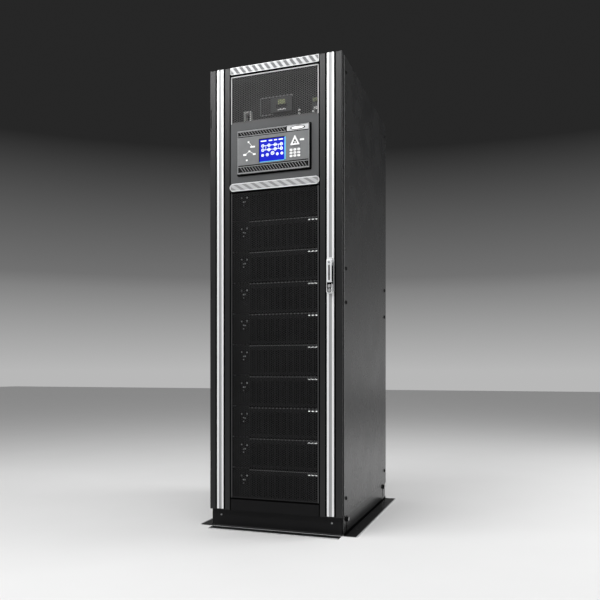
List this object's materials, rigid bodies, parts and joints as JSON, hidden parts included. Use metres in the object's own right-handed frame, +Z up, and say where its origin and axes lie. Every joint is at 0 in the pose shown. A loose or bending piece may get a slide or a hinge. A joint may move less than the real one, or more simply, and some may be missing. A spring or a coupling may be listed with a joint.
{
  "type": "modular ups cabinet",
  "caption": "Floor-standing modular UPS cabinet: black steel enclosure with a perforated front door, silver trim, swing handle, door display and slide-in power modules behind the mesh.",
  "frame": {"origin": "on the floor, under the middle of the cabinet and its floor brackets", "axes": "+X right and +Y back as seen from the front, +Z up along the cabinet's height"},
  "size_m": [0.72, 0.972, 2],
  "materials": {
    "frame_steel": "satin black powder coat",
    "panel_paint": "satin black powder coat with a smooth sheen",
    "galvanised_steel": "zinc plated",
    "compartment_paint": "dark grey paint",
    "module_casing": "dark grey moulded front and sheet metal case",
    "door_paint": "satin black powder coat",
    "silver_trim": "brushed silver anodised",
    "mesh_steel": "black powder coated perforated sheet",
    "display_grey": "fine textured grey moulding",
    "screen_glass": "glossy dark blue display face",
    "switch_moulding": "light grey moulding",
    "handle_metal": "satin silver die casting"
  },
  "bodies": {
    "cabinet": {"base_frame": "frame_steel", "levelling_feet": "galvanised_steel", "front_bracket": "frame_steel", "rear_bracket": "frame_steel", "left_bracket": "frame_steel", "right_bracket": "frame_steel", "floor_pan": "frame_steel", "left_front_post": "frame_steel", "right_front_post": "frame_steel", "left_rear_post": "frame_steel", "right_rear_post": "frame_steel", "front_head": "frame_steel", "roof_panel": "panel_paint", "left_side_panel": "panel_paint", "right_side_panel": "panel_paint", "rear_lower_panel": "panel_paint", "rear_upper_panel": "panel_paint", "left_uprights": "galvanised_steel", "right_uprights": "galvanised_steel", "left_module_slides": "galvanised_steel", "right_module_slides": "galvanised_steel", "bay_shelf": "galvanised_steel", "switch_plate": "compartment_paint", "switch_unit": "switch_moulding", "cable_guard": "switch_moulding", "terminal_cover": "switch_moulding", "frame_hinges": "galvanised_steel", "power_module_01": "module_casing", "power_module_02": "module_casing", "power_module_03": "module_casing", "power_module_04": "module_casing", "power_module_05": "module_casing", "power_module_06": "module_casing", "power_module_07": "module_casing", "power_module_08": "module_casing", "power_module_09": "module_casing", "power_module_10": "module_casing"},
    "door": {"door_left_column": "door_paint", "door_right_column": "door_paint", "left_trim_strip": "silver_trim", "right_trim_strip": "silver_trim", "door_top_cap": "silver_trim", "upper_mesh": "mesh_steel", "lower_mesh": "mesh_steel", "display_plate": "display_grey", "divider_bar": "silver_trim", "door_bottom_plate": "door_paint", "display_housing": "display_grey", "display_screen": "screen_glass", "door_hinges": "galvanised_steel", "handle_dish": "handle_metal", "lock_housing": "handle_metal", "handle_lock": "handle_metal"},
    "handle_hub": {"handle_hub": "handle_metal"},
    "handle_lever": {"handle_lever": "handle_metal"}
  },
  "joints": [
    {"name": "door_hinge", "type": "hinge", "parent": "cabinet", "child": "door", "pos_m": [-0.297, -0.447, 1.04], "axis": [0, 0, -1], "range_deg": [0, 110]},
    {"name": "handle_turn", "type": "hinge", "parent": "door", "child": "handle_hub", "pos_m": [0.2505, -0.4655, 1.138], "axis": [0, 1, 0], "range_deg": [0, 90]},
    {"name": "handle_lift", "type": "hinge", "parent": "handle_hub", "child": "handle_lever", "pos_m": [0.2505, -0.4655, 1.138], "axis": [-1, 0, 0], "range_deg": [0, 30]}
  ]
}
